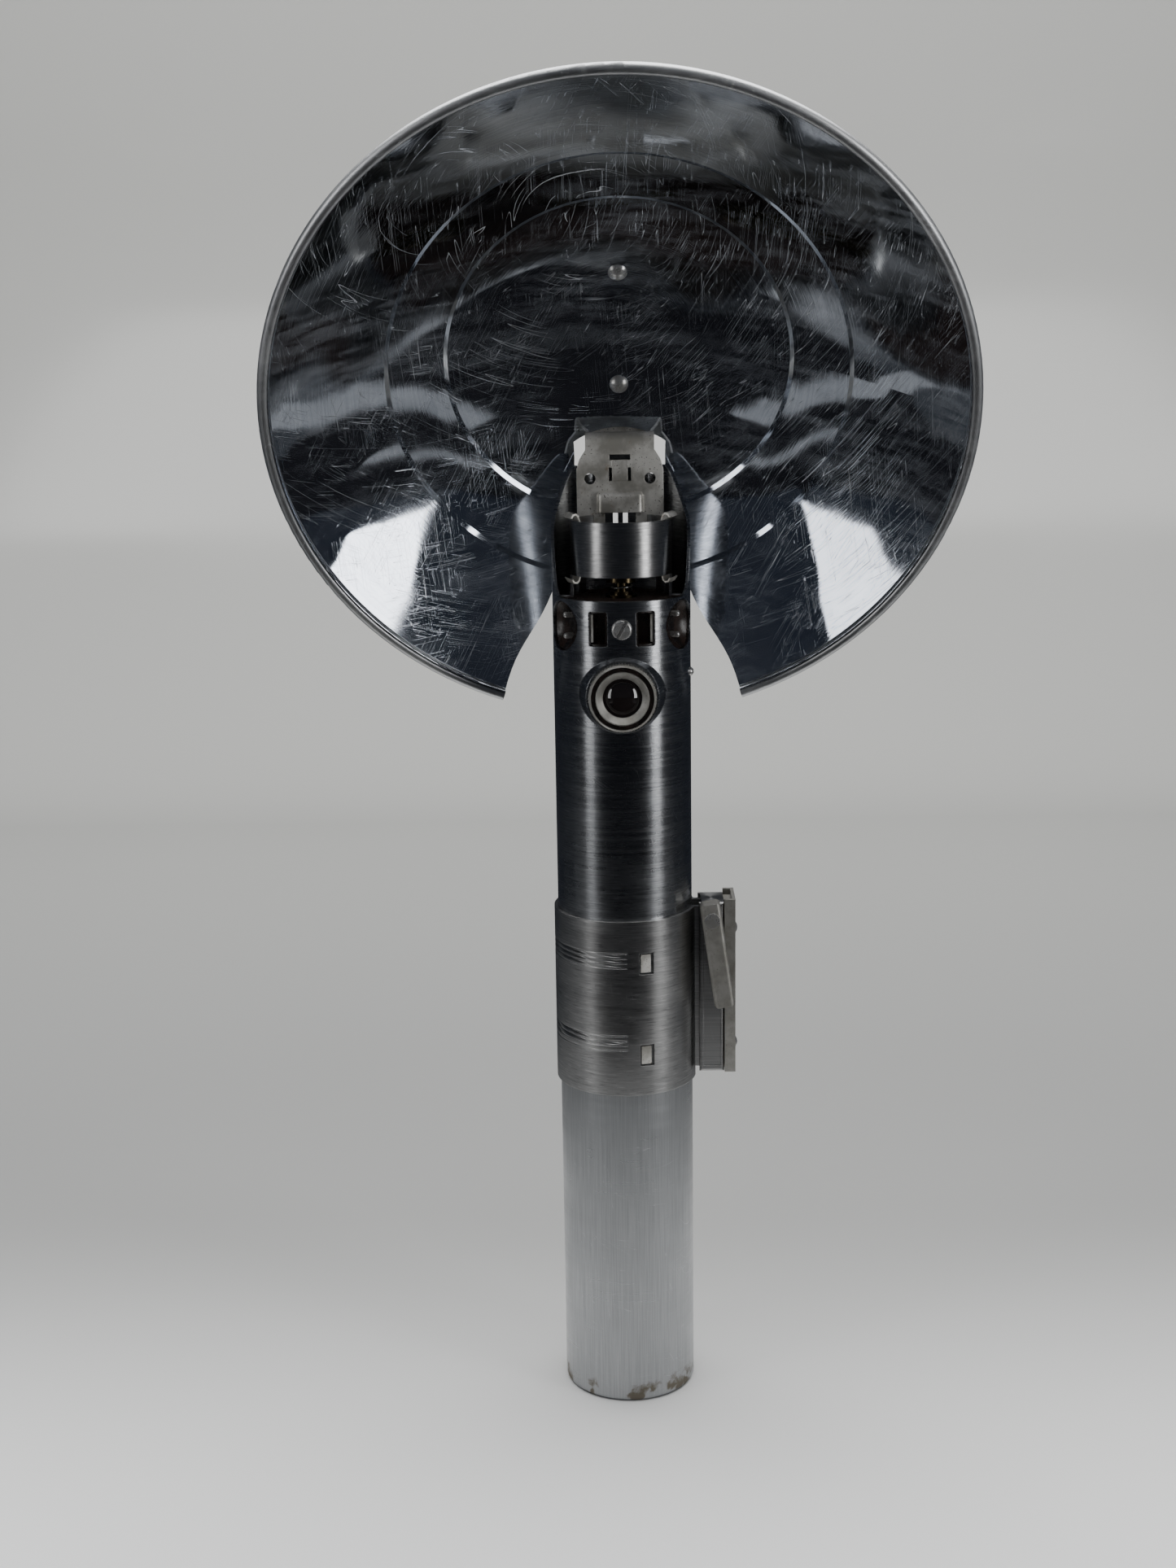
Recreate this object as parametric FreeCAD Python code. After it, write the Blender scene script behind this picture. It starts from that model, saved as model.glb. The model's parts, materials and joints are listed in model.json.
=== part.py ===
"""Battery-handle flash gun with a tilting bowl reflector.

The frame is in millimetres, +Z up along the handle, origin at the centre of the
handle's flat base.  The lens, the blade outlet and the mouth of the bowl face -Y,
and the bracket clamp stands out on the +X side.
"""
import FreeCAD
import Part
import math
import os

V = FreeCAD.Vector
ORIGIN = V(0, 0, 0)
X, Y, Z = V(1, 0, 0), V(0, 1, 0), V(0, 0, 1)

# ---- driving dimensions -------------------------------------------------
TUBE_R = 19.05            # 1.5 inch tube
TUBE_WALL = 0.8
TUBE_IN = TUBE_R - TUBE_WALL
CASE_TOP = 119.85         # the two half tubes meet here, under the clamp
HEAD_BOTTOM = 120.15
FRONT_LIP = 234.8         # lowest point of the cut-away at the front
BACK_TOP = 273.0          # top of the back wall
FIT = 0.06                # radial clearance of sliding tubes
SLEEVE_IN = 17.4          # inner radius of the sleeve that joins the halves

CELL_R = 16.6             # D cell
CELL_LENGTH = 61.5
CELL_NUB = 1.9
CELL_START = 9.2

BAYONET_Z = 112.0
BAYONET_TWIST = 20.0
LUG_R = 1.5

OUTLET_Z = 227.3
OUTLET_R = 6.8
OUTLET_ANGLE = 60.0       # either side of the front
PIN_PITCH = 5.8
BLADE_PITCH = 12.8
BLADE_SLOT = (5.0, 9.4)
EYE_Z = 209.3
EYE_RING_R = 9.3
EYE_FACE = -23.8
BUTTON_Z = 209.3
BUTTON_R = 6.0

SOCKET_IN = 13.2          # takes a 26 mm screw shell inside the sprung clips
SOCKET_WALL = 0.8
SOCKET_Z = (240.4, 255.3)
FLOOR_Z = (231.4, 233.9)  # insulating floor of the socket

CLAMP_Z = (95.2, 146.1)
CLAMP_IN = TUBE_R + 0.08
CLAMP_WALL = 1.0
BOX_X = (20.9, 28.0)
BOX_HALF = 6.0
BOX_Z = (97.0, 147.4)
RAIL_X = (28.0, 31.2)
RAIL_HALF = 6.3
LEVER_PIVOT = (24.4, 143.8)
LEVER_LENGTH = 30.5
LEVER_REST = 8.0          # degrees the lever stands off its closed position

PLATE_Y = (11.4, 12.3)
ROLL_TOP = 278.0          # top of the plate's rolled edge
ROLL_R = 2.6              # inside radius of the roll
ROLL_HALF = 9.6
FOOT_HALF = 8.3           # where the roll meets the strip
STRIP_HALF = 7.0
STRIP_THICK = 1.0
STRIP_SPAN = (-28.0, 29.0)  # along the bowl, from its axis

BOWL_R = 91.6             # radius at the middle of the rolled rim
BOWL_DEPTH = 46.0
BOWL_WALL = 0.9
BEAD_R = 1.5
BOWL_CENTRE = (-28.0, 281.7)   # y, z of the rim's centre
BOWL_DROOP = 25.6         # degrees the bowl faces below level
NOTCH_HALF = 13.0
NOTCH_TOP = 24.0          # distance of the notch's top below the bowl's axis
NOTCH_MOUTH = 34.2
RIVET_AT = (-12.0, 22.0)  # along the bowl, from its axis
RIVET_R = 1.6


# ---- helpers --------------------------------------------------------------
def cylinder(r, start, end, at=(0.0, 0.0), along=Z):
    """A round bar between two stations along Z (at = x, y) or Y (at = x, z)."""
    if along is Z:
        return Part.makeCylinder(r, end - start, V(at[0], at[1], start), Z)
    return Part.makeCylinder(r, end - start, V(at[0], start, at[1]), Y)


def tube(r_out, r_in, start, end, at=(0.0, 0.0), along=Z):
    return cylinder(r_out, start, end, at, along).cut(
        cylinder(r_in, start - 1, end + 1, at, along))


def box(x, y, z):
    return Part.makeBox(x[1] - x[0], y[1] - y[0], z[1] - z[0], V(x[0], y[0], z[0]))


def both_sides(shape):
    """The shape and its mirror image across the X = 0 plane."""
    return [shape, shape.mirror(ORIGIN, X)]


def outline(points, normal_to=X, offset=0.0):
    """A closed wire through 2-D points, in the YZ plane or the XZ plane."""
    if normal_to is X:
        corners = [V(offset, a, b) for a, b in points]
    else:
        corners = [V(a, offset, b) for a, b in points]
    return Part.Face(Part.makePolygon(corners + corners[:1]))


def ring_profile(points):
    """Revolves a closed (radius, z) outline about the Z axis."""
    corners = [V(r, 0, z) for r, z in points]
    face = Part.Face(Part.makePolygon(corners + corners[:1]))
    return face.revolve(ORIGIN, Z, 360)


def join(shapes):
    whole = shapes[0]
    for shape in shapes[1:]:
        whole = whole.fuse(shape)
    return whole.removeSplitter()


def turned(shape, degrees):
    """A copy turned about the handle's axis; 0 keeps the front at -Y."""
    copy = shape.copy()
    copy.rotate(ORIGIN, Z, degrees)
    return copy


def coil(radius, wire_r, start, height, turns):
    """A helical spring with its axis along Z."""
    helix = Part.makeHelix(height / turns, height, radius)
    circle = Part.Wire(Part.makeCircle(wire_r, V(radius, 0, 0), Y))
    spring = Part.Wire(helix).makePipeShell([circle], True, True)
    spring.translate(V(0, 0, start))
    return spring


def slotted_screw(head_r, head_h, shank_r, shank_l, slot_turn):
    """A fillister screw along Y: its head starts at Y = 0 and faces -Y."""
    head = cylinder(head_r, -head_h, 0, along=Y)
    edges = [e for e in head.Edges if e.BoundBox.YMax < -head_h + 0.01]
    head = head.makeFillet(head_h * 0.55, edges)
    slot = box((-head_r - 1, head_r + 1), (-head_h - 1, -head_h * 0.2), (-0.45, 0.45))
    slot.rotate(ORIGIN, Y, slot_turn)
    return head.fuse(cylinder(shank_r, 0, shank_l, along=Y)).cut(slot)


# ---- battery case ----------------------------------------------------------
def battery_case():
    """Drawn can that forms the lower half of the handle."""
    can = cylinder(TUBE_R, 0, CASE_TOP)
    foot = [e for e in can.Edges if e.BoundBox.ZMax < 0.01]
    can = can.makeFillet(1.4, foot)
    can = can.cut(cylinder(TUBE_IN, 1.0, CASE_TOP + 1))
    entry = box((-LUG_R - 0.3, LUG_R + 0.3), (-TUBE_R - 1, -TUBE_IN + 2),
                (BAYONET_Z - LUG_R - 0.3, CASE_TOP + 1))
    sweep = Part.makeCylinder(TUBE_R + 1, 2 * LUG_R + 0.6,
                              V(0, 0, BAYONET_Z - LUG_R - 0.3), Z, BAYONET_TWIST + 14)
    sweep = sweep.cut(cylinder(TUBE_IN - 2, 0, CASE_TOP))
    sweep.rotate(ORIGIN, Z, -90 - 7)
    for turn in (90, 270):
        # the lugs rest at one end of the cross slot and leave at the other
        can = can.cut(turned(sweep, turn))
        can = can.cut(turned(entry, turn + BAYONET_TWIST))
    return can


def cell(index):
    start = CELL_START + index * CELL_LENGTH
    body = cylinder(CELL_R, start, start + CELL_LENGTH - CELL_NUB)
    body = body.makeFillet(0.8, [e for e in body.Edges if e.Length > 50])
    return body.fuse(cylinder(4.7, start + CELL_LENGTH - CELL_NUB - 0.5,
                              start + CELL_LENGTH - 0.05))


def case_spring():
    """Pressed contact spring under the cells: a seat ring with two crossed bows."""
    thick, wide, foot, knee, pad = 0.5, 5.0, 14.2, 12.4, 4.4
    top = CELL_START - 0.1
    under = [(-foot, 1.0), (-knee, 1.0), (-pad, top - thick), (pad, top - thick), (knee, 1.0),
             (foot, 1.0)]
    over = [(x, z + thick) for x, z in reversed(under)]
    bow = outline(under + over, Y, -wide / 2).extrude(V(0, wide, 0))
    spring = tube(14.4, 10.0, 1.0, 1.5)
    for turn in (0, 90):
        spring = spring.fuse(turned(bow, turn))
    return spring


# ---- head -------------------------------------------------------------------
def cut_away():
    """Everything above the scooped opening of the head, seen from the side."""
    far = TUBE_R + 5
    knots = [V(0, -10.5, FRONT_LIP), V(0, -6.6, 236.3), V(0, -4.4, 240.5), V(0, -2.6, 246.5),
             V(0, 1.6, 253.8), V(0, 9.0, 262.0), V(0, 14.0, 268.0), V(0, 16.6, BACK_TOP)]
    curve = Part.BSplineCurve()
    curve.interpolate(Points=knots, InitialTangent=V(0, 1, 0), FinalTangent=V(0, 0.3, 1))
    corners = [knots[-1], V(0, far, BACK_TOP), V(0, far, 320), V(0, -far, 320),
               V(0, -far, FRONT_LIP), V(0, -18.0, FRONT_LIP), knots[0]]
    edges = [curve.toShape()]
    edges += [Part.LineSegment(a, b).toShape() for a, b in zip(corners, corners[1:])]
    face = Part.Face(Part.Wire(edges))
    face.translate(V(-far, 0, 0))
    return face.extrude(V(2 * far, 0, 0))


def outlet_axis(shape, side):
    """Swings a shape made along -Y, at the outlets' height, to one outlet."""
    return turned(shape, side * OUTLET_ANGLE)


def head_tube():
    """Upper half of the handle: scooped mouth, outlets, lens and button holes."""
    body = tube(TUBE_R, TUBE_IN, HEAD_BOTTOM, BACK_TOP + 2)
    body = body.cut(cut_away())
    slot_w, slot_h = BLADE_SLOT
    slot = box((-slot_w / 2, slot_w / 2), (-TUBE_R - 2, -TUBE_IN + 4),
               (OUTLET_Z - slot_h / 2, OUTLET_Z + slot_h / 2))
    upright = [e for e in slot.Edges if abs(e.BoundBox.YLength - (TUBE_R - TUBE_IN + 6)) < 0.01]
    slot = slot.makeFillet(0.6, upright)
    for side in (-1, 1):
        window = slot.copy()
        window.translate(V(side * BLADE_PITCH / 2, 0, 0))
        body = body.cut(window)
        hole = cylinder(OUTLET_R, -TUBE_R - 2, -10, (0, OUTLET_Z), Y)
        body = body.cut(outlet_axis(hole, side))
        sight = cylinder(1.9, 10, TUBE_R + 2, (side * 9.4, 268.0), Y)
        body = body.cut(sight)
        peephole = box(sorted((side * 0.7, side * 2.1)), (10, TUBE_R + 2), (251.5, 256.5))
        body = body.cut(peephole)
    body = body.cut(cylinder(1.6, -TUBE_R - 2, -10, (0, OUTLET_Z), Y))
    body = body.cut(cylinder(7.9, -TUBE_R - 2, -10, (0, EYE_Z), Y))
    body = body.cut(cylinder(7.4, 10, TUBE_R + 2, (0, BUTTON_Z), Y))
    body = body.cut(Part.makeCylinder(0.85, 12, V(12, -3.0, 213.2), X))
    for lug_turn in (0, 90, 180, 270):
        rivet = cylinder(1.25, -TUBE_R - 2, -10, (0, 130.0), Y)
        body = body.cut(turned(rivet, 45 + lug_turn))
    return body


def coupling_sleeve():
    """Inner sleeve riveted into the head; the case slides over its lower half."""
    sleeve = tube(TUBE_IN - FIT, SLEEVE_IN, 101.0, 139.0)
    for turn in (0, 90, 180, 270):
        sleeve = sleeve.cut(turned(cylinder(1.25, -TUBE_R, -10, (0, 130.0), Y), 45 + turn))
    for turn in (90, 270):
        sleeve = sleeve.cut(turned(cylinder(LUG_R, -TUBE_R, -10, (0, BAYONET_Z), Y), turn))
    return sleeve


def bayonet_lugs():
    lug = cylinder(LUG_R, -TUBE_R + 0.1, -17.0, (0, BAYONET_Z), Y)
    head = cylinder(LUG_R + 0.6, -17.6, -16.8, (0, BAYONET_Z), Y)
    head = head.common(cylinder(SLEEVE_IN - 0.02, 100, 125))
    return Part.makeCompound([turned(lug.fuse(head), t) for t in (90, 270)])


def sleeve_rivets():
    shank = cylinder(1.25, -TUBE_R, -17.0, (0, 130.0), Y)
    shank = shank.common(cylinder(TUBE_R - 0.02, 120, 140))
    head = cylinder(1.9, -17.6, -16.8, (0, 130.0), Y)
    head = head.common(cylinder(SLEEVE_IN - 0.02, 120, 140))
    return Part.makeCompound([turned(shank.fuse(head), 45 + t) for t in (0, 90, 180, 270)])


def contact_disc():
    """Insulating disc above the cells."""
    disc = cylinder(TUBE_IN - 0.05, 195.2, 197.6)
    return disc.cut(cylinder(1.6, 190, 200)).cut(cylinder(1.1, 190, 200, (9, 0)))


def battery_contact():
    """Leaf contact that takes the top cell's nub, riveted through the disc."""
    leaf = box((-4, 11), (-3, 3), (194.6, 195.1))
    leaf = leaf.fuse(cylinder(4.2, 194.3, 195.1))
    rivet = cylinder(1.5, 195.0, 198.4).fuse(cylinder(2.6, 197.7, 198.4))
    return leaf.fuse(rivet).fuse(cylinder(1.0, 195.0, 198.2, (9, 0)))


def socket_floor():
    """Insulating floor of the lamp socket, notched for the outlets."""
    floor = cylinder(TUBE_IN - 0.05, *FLOOR_Z)
    for side in (-1, 1):
        cup = cylinder(OUTLET_R + 0.6, -TUBE_R - 1, -12.6, (0, OUTLET_Z), Y)
        floor = floor.cut(outlet_axis(cup, side))
    floor = floor.cut(box((-10.3, 10.3), (-20, -11.4), (FLOOR_Z[0] - 1, 232.2)))
    floor = floor.cut(cylinder(3.1, 225, 240))
    for x in (-8.2, 8.2):
        floor = floor.cut(cylinder(1.25, 225, 240, (x, 8.2)))
    return floor


def socket_band():
    """Ring that holds the lamp's screw shell, on four feet."""
    low, high = SOCKET_Z
    outer = SOCKET_IN + SOCKET_WALL
    foot_w = 3.8
    feet_turns = (-98, 98, -124, 124)
    ring = tube(outer, SOCKET_IN, FLOOR_Z[1], high)
    keep = cylinder(outer + 1, low, high + 1)
    for turn in feet_turns:
        keep = keep.fuse(turned(box((-foot_w / 2, foot_w / 2), (-20, -2), (230, low + 1)), turn))
    ring = ring.common(keep)
    for turn in feet_turns:
        toe = box((-foot_w / 2, foot_w / 2), (-outer - 2.6, -SOCKET_IN - 0.2),
                  (FLOOR_Z[1], FLOOR_Z[1] + 0.5))
        ring = ring.fuse(turned(toe, turn))
    return ring.cut(box((-10, 10), (10.9, 16), (FLOOR_Z[1] - 1, high + 1)))


def socket_clips():
    """Two spring leaves inside the band's ends, with lips curled over its edges."""
    inner, outer = SOCKET_IN - 0.5, SOCKET_IN - 0.05
    low, high = SOCKET_Z
    lip = [(inner, 0.2), (inner + 0.35, 1.4), (inner + 1.2, 2.1), (inner + 2.3, 1.9),
           (inner + 2.9, 0.9), (inner + 2.45, 0.7), (inner + 2.0, 1.4), (inner + 1.3, 1.55),
           (inner + 0.75, 1.1), (outer, 0.2)]
    profile = [(r, high + z) for r, z in lip] + [(r, low - z) for r, z in reversed(lip)]
    corners = [V(r, 0, z) for r, z in profile]
    leaf = Part.Face(Part.makePolygon(corners + corners[:1])).revolve(ORIGIN, Z, 27)
    right = turned(leaf, -31)
    return Part.makeCompound([right, right.mirror(ORIGIN, X)])


def centre_hardware():
    """Guide bush and coil spring of the centre contact."""
    bush = tube(3.05, 1.9, 229.4, 235.4).fuse(tube(4.4, 1.9, FLOOR_Z[1], 234.6))
    spring = coil(2.9, 0.25, 235.75, 1.6, 1.5)
    return bush, spring


def contact_plunger():
    """Sprung centre contact under the lamp."""
    stem = cylinder(1.8, 226.6, 238.4)
    button = cylinder(4.2, 238.0, 240.0)
    button = button.makeFillet(0.7, [e for e in button.Edges if e.BoundBox.ZMin > 239.9])
    clip = tube(2.7, 1.8, 226.8, 227.4)
    return stem.fuse(button).fuse(clip)


def plate_channel():
    """Guide on the back wall that the reflector's plate slides into."""
    back = box((-12.55, 12.55), (12.62, 13.1), (FLOOR_Z[1] + 4.2, 254.5))
    side = box((12.25, 12.55), (10.6, 12.7), (FLOOR_Z[1] + 4.2, 250.5))
    lip = box((10.9, 12.55), (10.6, 11.1), (FLOOR_Z[1] + 4.2, 250.5))
    guide = join([back] + both_sides(side) + both_sides(lip))
    guide = guide.cut(box((-4.3, 4.3), (12, 14), (250.8, 256)))
    foot = box((-4, 4), (13.05, 18.0), (FLOOR_Z[1] + 4.2, FLOOR_Z[1] + 4.9))
    foot = foot.common(cylinder(TUBE_IN - 0.03, 230, 260))
    return guide.fuse(foot).common(cylinder(TUBE_IN - 0.03, 230, 260))


def outlet_cup(side):
    """Moulded two-pin outlet behind its round hole."""
    cup = cylinder(OUTLET_R + 0.5, -18.0, -12.8, (0, OUTLET_Z), Y)
    cup = cup.common(cylinder(TUBE_IN - 0.03, 210, 240))
    recess = Part.makeSphere(9.0, V(0, -24.2, OUTLET_Z))
    cup = cup.cut(recess)
    for step in (-1, 1):
        cup = cup.cut(cylinder(0.85, -20, -10, (0, OUTLET_Z + step * PIN_PITCH / 2), Y))
    return outlet_axis(cup, side)


def outlet_pins(side):
    pins = []
    for step in (-1, 1):
        at = (0, OUTLET_Z + step * PIN_PITCH / 2)
        pin = cylinder(0.85, -17.4, -11.6, at, Y)
        pins.append(pin.fuse(Part.makeSphere(0.85, V(0, -17.4, at[1]))))
    return outlet_axis(Part.makeCompound(pins), side)


def blade_block():
    """Moulded body of the two-blade outlet."""
    slot_w, slot_h = BLADE_SLOT
    body = box((-10, 10), (-18.5, -11.6), (OUTLET_Z - 5.6, 231.9))
    body = body.common(cylinder(TUBE_IN - 0.03, 210, 240))
    for side in (-1, 1):
        x = side * BLADE_PITCH / 2
        well = box((x - slot_w / 2 + 0.5, x + slot_w / 2 - 0.5), (-20, -12.4),
                   (OUTLET_Z - slot_h / 2 + 0.5, OUTLET_Z + slot_h / 2 - 0.5))
        body = body.cut(well)
        cup = cylinder(OUTLET_R + 0.6, -TUBE_R - 1, -12.6, (0, OUTLET_Z), Y)
        body = body.cut(outlet_axis(cup, side))
    return body.cut(cylinder(1.5, -20, -13, (0, OUTLET_Z), Y))


def blade_contacts():
    """A sprung leaf on the outer wall of each blade well."""
    slot_w, slot_h = BLADE_SLOT
    leaves = []
    for side in (-1, 1):
        x = side * (BLADE_PITCH / 2 + slot_w / 2 - 0.9)
        leaves.append(box((x - 0.3, x + 0.3), (-15.9, -13.5),
                          (OUTLET_Z - slot_h / 2 + 0.9, OUTLET_Z + slot_h / 2 - 0.9)))
    return Part.makeCompound(leaves)


def front_screw():
    screw = slotted_screw(2.75, 1.3, 1.45, 5.2, -62)
    screw.translate(V(0, -TUBE_R + 0.02, OUTLET_Z))
    return screw.cut(tube(TUBE_R, TUBE_IN, 220, 235).cut(
        cylinder(1.6, -TUBE_R - 2, -10, (0, OUTLET_Z), Y)))


def eye_flange():
    """Raised round seat under the lens ring."""
    seat = Part.makeCone(11.9, 9.9, 6.2, V(0, -14.6, EYE_Z), V(0, -1, 0))
    seat = seat.cut(cylinder(TUBE_R + 0.01, 190, 230))
    return seat.cut(cylinder(7.9, -30, -10, (0, EYE_Z), Y))


def eye_barrel():
    """Threaded barrel of the test light, fixed in the head."""
    barrel = tube(7.85, 7.0, -22.0, -11.5, (0, EYE_Z), Y)
    barrel = barrel.fuse(tube(7.85, 2.2, -11.6, -10.6, (0, EYE_Z), Y))
    nut = tube(10.4, 7.8, -14.2, -12.6, (0, EYE_Z), Y)
    return barrel.fuse(nut.common(cylinder(TUBE_IN - 0.03, 190, 230)))


def eye_lamp():
    """Miniature lamp behind the lens."""
    base = cylinder(2.15, -14.2, -9.0, (0, EYE_Z), Y)
    bulb = Part.makeSphere(2.7, V(0, -16.0, EYE_Z))
    return base.fuse(bulb)


def eye_ring():
    """Knurled ring that screws on to the barrel and carries the lens."""
    teeth = 72
    depth = 0.28
    points = []
    for i in range(2 * teeth):
        r = EYE_RING_R - (depth if i % 2 else 0.0)
        a = math.pi * i / teeth
        points.append(V(r * math.cos(a), -20.9, EYE_Z + r * math.sin(a)))
    knurl = Part.Face(Part.makePolygon(points + points[:1])).extrude(V(0, EYE_FACE + 0.5 + 20.9, 0))
    nose = Part.makeCone(EYE_RING_R - depth, EYE_RING_R - depth - 0.45, 0.5,
                         V(0, EYE_FACE + 0.5, EYE_Z), V(0, -1, 0))
    ring = knurl.fuse(nose)
    ring = ring.cut(cylinder(7.93, -22.2, -20, (0, EYE_Z), Y))
    ring = ring.cut(cylinder(8.5, EYE_FACE - 1, EYE_FACE + 1.1, (0, EYE_Z), Y))
    return ring.cut(cylinder(7.3, -30, -20, (0, EYE_Z), Y))


def eye_seat():
    """Black washer in the bottom of the ring's groove."""
    return tube(8.45, 7.35, EYE_FACE + 0.75, EYE_FACE + 1.08, (0, EYE_Z), Y)


def eye_bezel():
    """Dished bezel inside the ring."""
    body = cylinder(7.25, EYE_FACE - 0.25, -22.05, (0, EYE_Z), Y)
    dish = Part.makeCone(6.95, 5.3, 1.5, V(0, EYE_FACE - 0.25, EYE_Z), Y)
    return body.cut(dish).cut(cylinder(5.3, -30, -20, (0, EYE_Z), Y))


def eye_lens():
    dome = Part.makeSphere(7.4, V(0, -16.3, EYE_Z))
    rod = cylinder(5.25, -26, -22.05, (0, EYE_Z), Y)
    rim = cylinder(6.8, -22.0, -20.6, (0, EYE_Z), Y)
    neck = cylinder(5.25, -22.2, -21.5, (0, EYE_Z), Y)
    return rim.fuse(dome.common(rod)).fuse(neck)


def button_parts():
    """Collar and switch leaves of the firing button."""
    at = (0, BUTTON_Z)
    collar = tube(7.35, BUTTON_R + 0.08, 13.6, 19.2, at, Y)
    flange = tube(9.2, BUTTON_R + 0.08, 15.2, 21.6, at, Y)
    flange = flange.cut(cylinder(TUBE_R + 0.01, 190, 230))
    rim = [e for e in flange.Edges if e.BoundBox.YMin > 21.55 and e.BoundBox.XLength > 18]
    collar = collar.fuse(flange.makeFillet(0.8, rim))
    collar = collar.fuse(tube(7.35, 4.6, 12.9, 13.6, at, Y))
    leaves = [box((-2.5, 2.5), (6.2, 6.7), (BUTTON_Z - 9, BUTTON_Z + 6)),
              box((-2.5, 2.5), (2.7, 3.2), (BUTTON_Z - 9, BUTTON_Z + 6)),
              box((-3.5, 3.5), (-0.3, 9.6), (197.65, BUTTON_Z - 9))]
    leaves[2] = leaves[2].cut(cylinder(2.7, 190, 200))
    return collar, Part.makeCompound(leaves)


def shutter_button():
    at = (0, BUTTON_Z)
    cap = cylinder(BUTTON_R, 16.0, 23.6, at, Y)
    crown = [e for e in cap.Edges if e.BoundBox.YMin > 23.5]
    cap = cap.makeFillet(1.6, crown)
    return cap.fuse(cylinder(2.2, 9.0, 16.0, at, Y))


def side_screw():
    """Small round-head screw on the right of the head."""
    head = Part.makeSphere(1.3, V(TUBE_R - 0.55, -3.0, 213.2))
    head = head.cut(cylinder(TUBE_R + 0.01, 205, 220))
    shank = Part.makeCylinder(0.8, 3.4, V(TUBE_R - 2.9, -3.0, 213.2), X)
    return head.fuse(shank)


# ---- clamp --------------------------------------------------------------------
def clamp_band():
    """Split band round the handle; its ends turn out into the lever box."""
    low, high = CLAMP_Z
    outer = CLAMP_IN + CLAMP_WALL
    band = tube(outer, CLAMP_IN, low, high)
    band = band.cut(box((10, 30), (-3.4, 3.4), (low - 1, high + 1)))
    for side in (-1, 1):
        y = sorted((side * 3.4, side * 4.4))
        ear = box((19.0, 27.2), y, (low + 3.0, high))
        band = band.fuse(ear.cut(cylinder(CLAMP_IN, low - 1, high + 1)))
    band = band.cut(cylinder(1.5, -10, 10, LEVER_PIVOT, Y))
    window = box((3.9, 7.7), (-30, -10), (-3.1, 3.1))
    for z in (133.8, 107.0):
        opening = window.copy()
        opening.translate(V(0, 0, z))
        band = band.cut(opening)
    pitch, width, depth = 1.4, 0.4, 0.16
    for middle in (134.9, 110.8):
        for i in range(4):
            z = middle + (i - 1.5) * pitch - width / 2
            groove = Part.makeCylinder(outer + 1, width, V(0, 0, z), Z, 150)
            groove = groove.cut(cylinder(outer - depth, z - 1, z + 2))
            groove.rotate(ORIGIN, Z, 121)
            band = band.cut(groove)
    return band


def band_hooks():
    """Hooked ends of the inner strap, seen in the band's two windows."""
    hooks = []
    for z in (133.8, 107.0):
        hook = tube(CLAMP_IN + 0.62, CLAMP_IN + 0.03, z - 2.6, z + 2.6)
        hooks.append(hook.common(box((4.2, 7.0), (-30, -10), (z - 3, z + 3))))
    return Part.makeCompound(hooks)


def clamp_box():
    """Pressed housing over the band's ends, with a raised panel."""
    shell = box(BOX_X, (-BOX_HALF, BOX_HALF), BOX_Z)
    long_edges = [e for e in shell.Edges
                  if e.BoundBox.ZLength > 40 or e.BoundBox.XLength > 5]
    shell = shell.makeFillet(0.9, long_edges)
    shell = shell.cut(box((BOX_X[0] - 1, BOX_X[1] - 0.75), (-BOX_HALF + 0.9, BOX_HALF - 0.9),
                          (BOX_Z[0] + 0.9, BOX_Z[1] - 0.5)))
    shell = shell.cut(box((BOX_X[0] - 1, BOX_X[0] + 0.7), (-4.6, 4.6), (90, 150)))
    panel = box((BOX_X[0] + 1.2, BOX_X[1] - 1.0), (-BOX_HALF - 0.2, -BOX_HALF + 0.25),
                (BOX_Z[0] + 1.8, BOX_Z[1] - 12))
    shell = shell.cut(panel)
    return shell.cut(cylinder(1.5, -10, 10, LEVER_PIVOT, Y))


def clamp_rail():
    """Accessory rail: a slotted channel that a camera bracket slides into."""
    x0, x1 = RAIL_X
    low, high = BOX_Z[0], BOX_Z[1] + 1.0
    web = box((x1 - 1.0, x1), (-RAIL_HALF, RAIL_HALF), (low, high))
    lip = box((x0 + 0.1, x1), (RAIL_HALF - 1.0, RAIL_HALF), (low, high))
    mirrored = lip.mirror(ORIGIN, Y)
    spine = box((x0, x1 - 0.9), (-2.6, 2.6), (low, BOX_Z[1]))
    rail = join([web, lip, mirrored, spine])
    for z in (104.0, 138.5):
        rail = rail.cut(Part.makeCylinder(1.5, 12, V(20, 0, z), X))
    return rail


def rail_rivets():
    rivets = []
    for z in (104.0, 138.5):
        shank = Part.makeCylinder(1.5, 4.15, V(BOX_X[1] - 0.75, 0, z), X)
        tail = Part.makeCylinder(2.3, 0.7, V(BOX_X[1] - 1.45, 0, z), X)
        crown = Part.makeSphere(2.6, V(RAIL_X[1] - 1.75, 0, z))
        crown = crown.common(Part.makeCylinder(2.2, 2, V(RAIL_X[1], 0, z), X))
        rivets.append(shank.fuse(tail).fuse(crown))
    return Part.makeCompound(rivets)


def rail_rivets_holes(shell):
    for z in (104.0, 138.5):
        shell = shell.cut(Part.makeCylinder(1.5, 12, V(22, 0, z), X))
    return shell


def set_lever(shape):
    """Turns lever parts from their closed position to the rest position."""
    x, z = LEVER_PIVOT
    copy = shape.copy()
    copy.rotate(V(x, 0, z), V(0, -1, 0), LEVER_REST)
    return copy


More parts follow.
